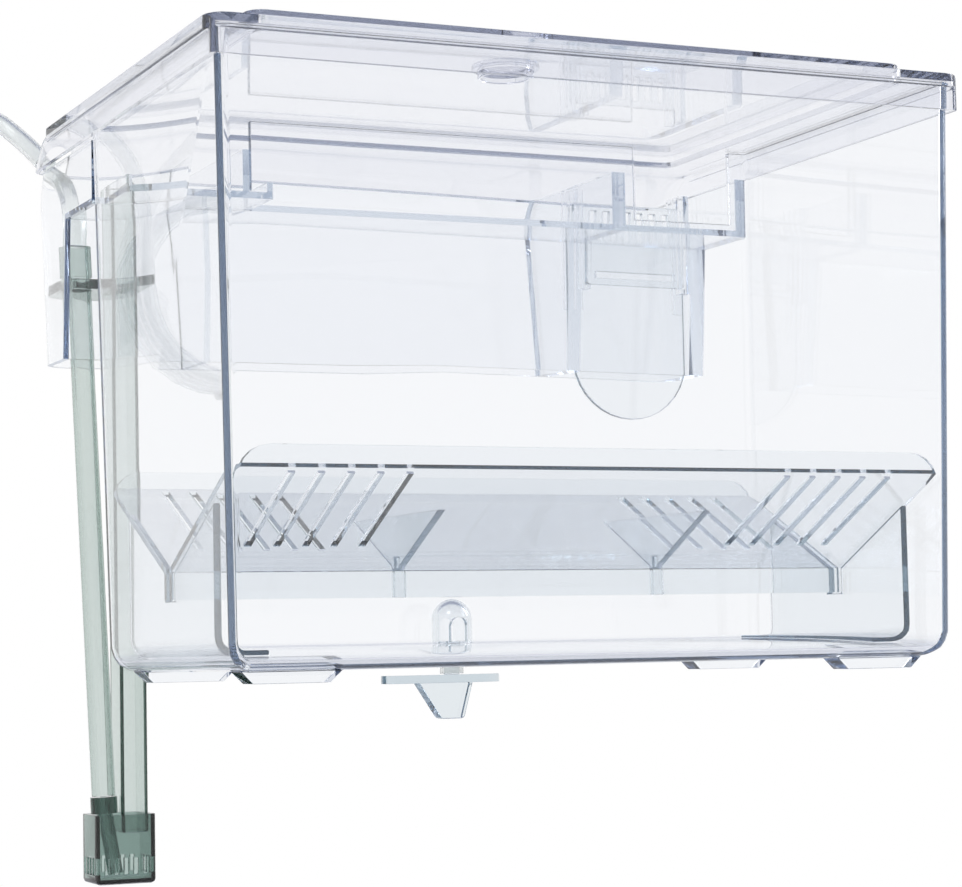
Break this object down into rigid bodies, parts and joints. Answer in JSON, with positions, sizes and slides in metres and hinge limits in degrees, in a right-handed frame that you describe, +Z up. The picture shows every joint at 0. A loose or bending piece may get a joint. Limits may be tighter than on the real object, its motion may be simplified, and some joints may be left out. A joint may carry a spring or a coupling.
{
  "type": "fish breeding box",
  "caption": "Clear hang-on breeding box with a lid, a slatted V trough, an air lift inlet, a screened outlet and a turn plug drain.",
  "frame": {"origin": "middle of the flat underside of the rear ledge that rests on the tank's rim", "axes": "+X to the right along the front, the front faces -Y, +Z up"},
  "size_m": [0.3353, 0.239, 0.2481],
  "materials": {
    "clear_plastic": "polished clear plastic with a faint lavender-blue tint at its edges",
    "pale_green_plastic": "polished pale grey-green clear plastic",
    "smoky_plastic": "dark grey-green clear plastic",
    "clear_silicone": "soft milky clear silicone",
    "dark_tie": "flat dark plastic band"
  },
  "bodies": {
    "box": {"box_body": "clear_plastic", "rear_hanger": "clear_plastic", "lift_tube": "pale_green_plastic", "air_pipe": "pale_green_plastic", "air_nozzle": "smoky_plastic", "tube_clip": "pale_green_plastic", "air_elbow": "pale_green_plastic", "airline_run": "clear_silicone", "airline_coil": "clear_silicone", "coil_tie": "dark_tie", "drain_dome": "clear_plastic"},
    "lid": {"lid": "clear_plastic"},
    "feed_cap": {"feed_cap": "clear_plastic"},
    "trough": {"trough_front_panel": "clear_plastic", "trough_rear_panel": "clear_plastic", "trough_left_end": "clear_plastic", "trough_right_end": "clear_plastic"},
    "left_divider": {"left_divider": "clear_plastic"},
    "right_divider": {"right_divider": "clear_plastic"},
    "outlet_grid": {"outlet_grid": "clear_plastic"},
    "outlet_tongue": {"outlet_tongue": "clear_plastic"},
    "strainer_cup": {"strainer_cup": "smoky_plastic"},
    "drain_plug": {"drain_plug": "clear_plastic", "drain_seal": "clear_silicone"}
  },
  "joints": [
    {"name": "lid_lift", "type": "slide", "parent": "box", "child": "lid", "axis": [0, 0, 1], "range_m": [0, 0.06]},
    {"name": "feed_cap_lift", "type": "slide", "parent": "lid", "child": "feed_cap", "axis": [0, 0, 1], "range_m": [0, 0.03]},
    {"name": "trough_lift", "type": "slide", "parent": "box", "child": "trough", "axis": [0, 0, 1], "range_m": [0, 0.078]},
    {"name": "left_divider_lift", "type": "slide", "parent": "trough", "child": "left_divider", "axis": [0, 0, 1], "range_m": [0, 0.035]},
    {"name": "right_divider_lift", "type": "slide", "parent": "trough", "child": "right_divider", "axis": [0, 0, 1], "range_m": [0, 0.035]},
    {"name": "outlet_grid_lift", "type": "slide", "parent": "box", "child": "outlet_grid", "axis": [0, 0, 1], "range_m": [0, 0.012]},
    {"name": "outlet_tongue_slide", "type": "slide", "parent": "box", "child": "outlet_tongue", "axis": [0, 0, 1], "range_m": [-0.006, 0.012]},
    {"name": "strainer_pull", "type": "slide", "parent": "box", "child": "strainer_cup", "axis": [0, 0, -1], "range_m": [0, 0.025]},
    {"name": "drain_plug_turn", "type": "hinge", "parent": "box", "child": "drain_plug", "pos_m": [-0.0056, -0.0321, -0.1377], "axis": [0, 0, 1], "range_deg": [0, 90]}
  ]
}
